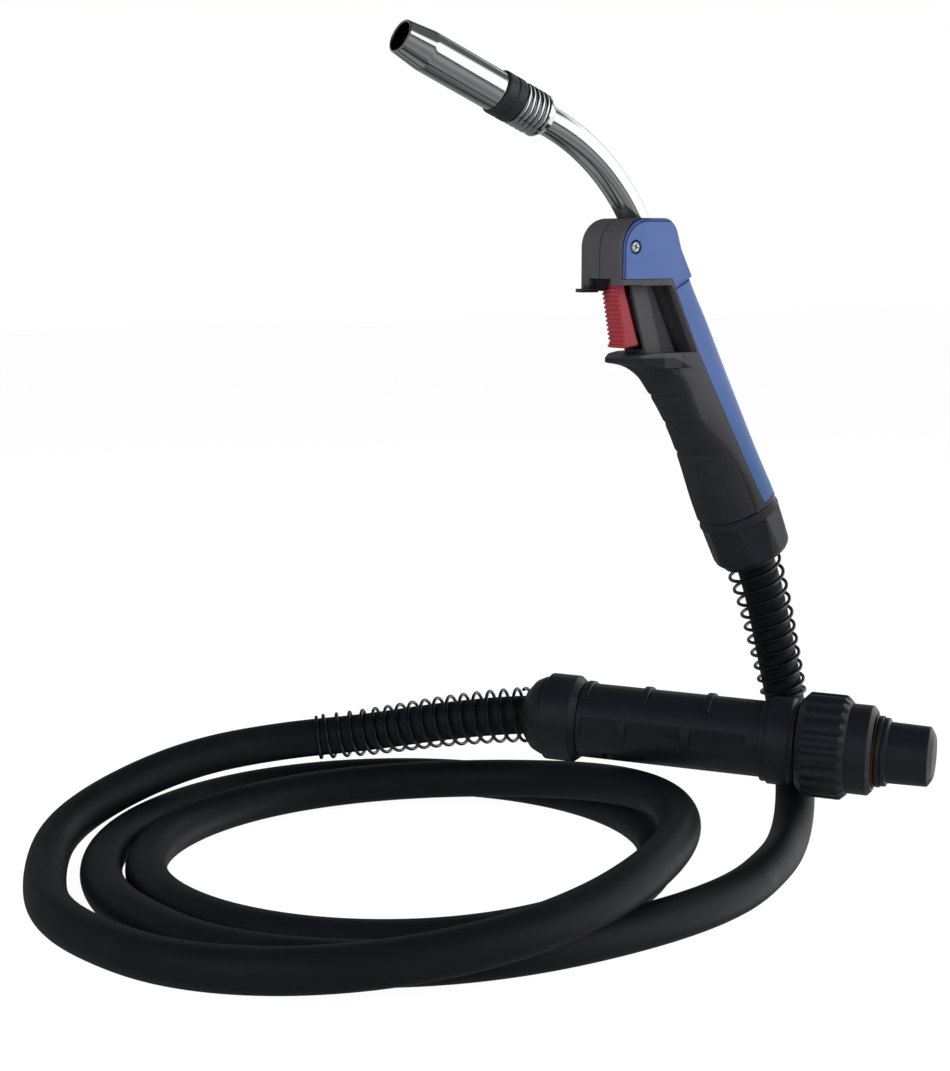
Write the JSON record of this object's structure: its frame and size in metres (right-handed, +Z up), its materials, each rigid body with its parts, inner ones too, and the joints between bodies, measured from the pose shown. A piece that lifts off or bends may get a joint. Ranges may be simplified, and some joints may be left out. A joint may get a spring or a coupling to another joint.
{
  "type": "mig welding torch",
  "caption": "Swan-neck MIG welding torch: trigger handle, spring strain reliefs, coiled power cable and a ribbed central-adaptor plug with a pull-off cap.",
  "frame": {"origin": "on the handle's axis at the middle of the grip, in the gun's mid-plane", "axes": "+Z up as the gun is stood in the picture, nozzle towards -X, +Y to the gun's right-hand side, handle leaned 25 degrees forward"},
  "size_m": [0.4034, 0.3104, 0.3828],
  "materials": {
    "polished_metal": "polished",
    "copper_alloy": "machined",
    "liner": "coiled wire",
    "insulator": "satin",
    "black_plastic": "satin",
    "blue_plastic": "satin",
    "soft_black": "matt, soft",
    "bright_steel": "zinc plated",
    "red_plastic": "satin",
    "spring_steel": "dark, bright edges",
    "switch_plastic": "satin",
    "cable_rubber": "satin",
    "plug_plastic": "satin"
  },
  "bodies": {
    "gun": {"swan_neck": "polished_metal", "neck_collar": "polished_metal", "nozzle_spring": "polished_metal", "neck_conductor": "copper_alloy", "gas_diffuser": "copper_alloy", "tip_holder": "copper_alloy", "contact_tip": "copper_alloy", "neck_nut": "copper_alloy", "cable_connector": "copper_alloy", "plug_body": "copper_alloy", "plug_pin": "copper_alloy", "cable_crimp": "copper_alloy", "wire_liner": "liner", "insulator_ring": "insulator", "handle_shell_left": "black_plastic", "handle_shell_right": "black_plastic", "end_nut": "black_plastic", "head_cover": "blue_plastic", "spine_cover": "blue_plastic", "front_grip": "soft_black", "head_screw": "bright_steel", "head_screw_nut": "bright_steel", "trigger_pin": "bright_steel", "case_screws": "bright_steel", "trigger_spring": "spring_steel", "gun_spring": "spring_steel", "rear_spring": "spring_steel", "microswitch": "switch_plastic", "switch_leads": "switch_plastic", "cable_gun_stretch": "cable_rubber", "cable_coil": "cable_rubber", "cable_plug_stretch": "cable_rubber", "rear_collar": "plug_plastic", "housing_upper": "plug_plastic", "housing_lower": "plug_plastic", "housing_flange": "plug_plastic", "plug_face": "plug_plastic"},
    "trigger": {"trigger": "red_plastic"},
    "switch_plunger": {"switch_plunger": "switch_plastic"},
    "gas_nozzle": {"gas_nozzle": "polished_metal"},
    "adaptor_nut": {"adaptor_nut": "plug_plastic", "nut_insert": "copper_alloy"},
    "protective_cap": {"protective_cap": "plug_plastic"},
    "signal_pin_a": {"signal_pin_a": "copper_alloy"},
    "signal_pin_b": {"signal_pin_b": "copper_alloy"}
  },
  "joints": [
    {"name": "trigger_press", "type": "hinge", "parent": "gun", "child": "trigger", "pos_m": [-0.056, 0, 0.0706], "axis": [0, -1, 0], "range_deg": [0, 5], "stiffness_Nm_per_rad": 0.5, "springref_deg": -8.59},
    {"name": "plunger_press", "type": "slide", "parent": "gun", "child": "switch_plunger", "axis": [0.9063, 0, 0.4226], "range_m": [0, 0.0018]},
    {"name": "nozzle_pull", "type": "slide", "parent": "gun", "child": "gas_nozzle", "axis": [-0.9191, 0, 0.3939], "range_m": [0, 0.06]},
    {"name": "nut_turn", "type": "hinge", "parent": "gun", "child": "adaptor_nut", "pos_m": [0.03741, -0.04526, -0.15019], "axis": [0.6222, -0.7822, -0.0312], "continuous": true},
    {"name": "cap_pull", "type": "slide", "parent": "gun", "child": "protective_cap", "axis": [0.6222, -0.7822, -0.0312], "range_m": [0, 0.06]},
    {"name": "signal_pin_a_press", "type": "slide", "parent": "gun", "child": "signal_pin_a", "axis": [-0.6222, 0.7822, 0.0312], "range_m": [0, 0.003], "stiffness_N_per_m": 300, "springref_m": -0.003},
    {"name": "signal_pin_b_press", "type": "slide", "parent": "gun", "child": "signal_pin_b", "axis": [-0.6222, 0.7822, 0.0312], "range_m": [0, 0.003], "stiffness_N_per_m": 300, "springref_m": -0.003}
  ],
  "couplings": [
    {"joint": "plunger_press", "follows": "trigger_press", "m_per_rad": 0.01965}
  ]
}
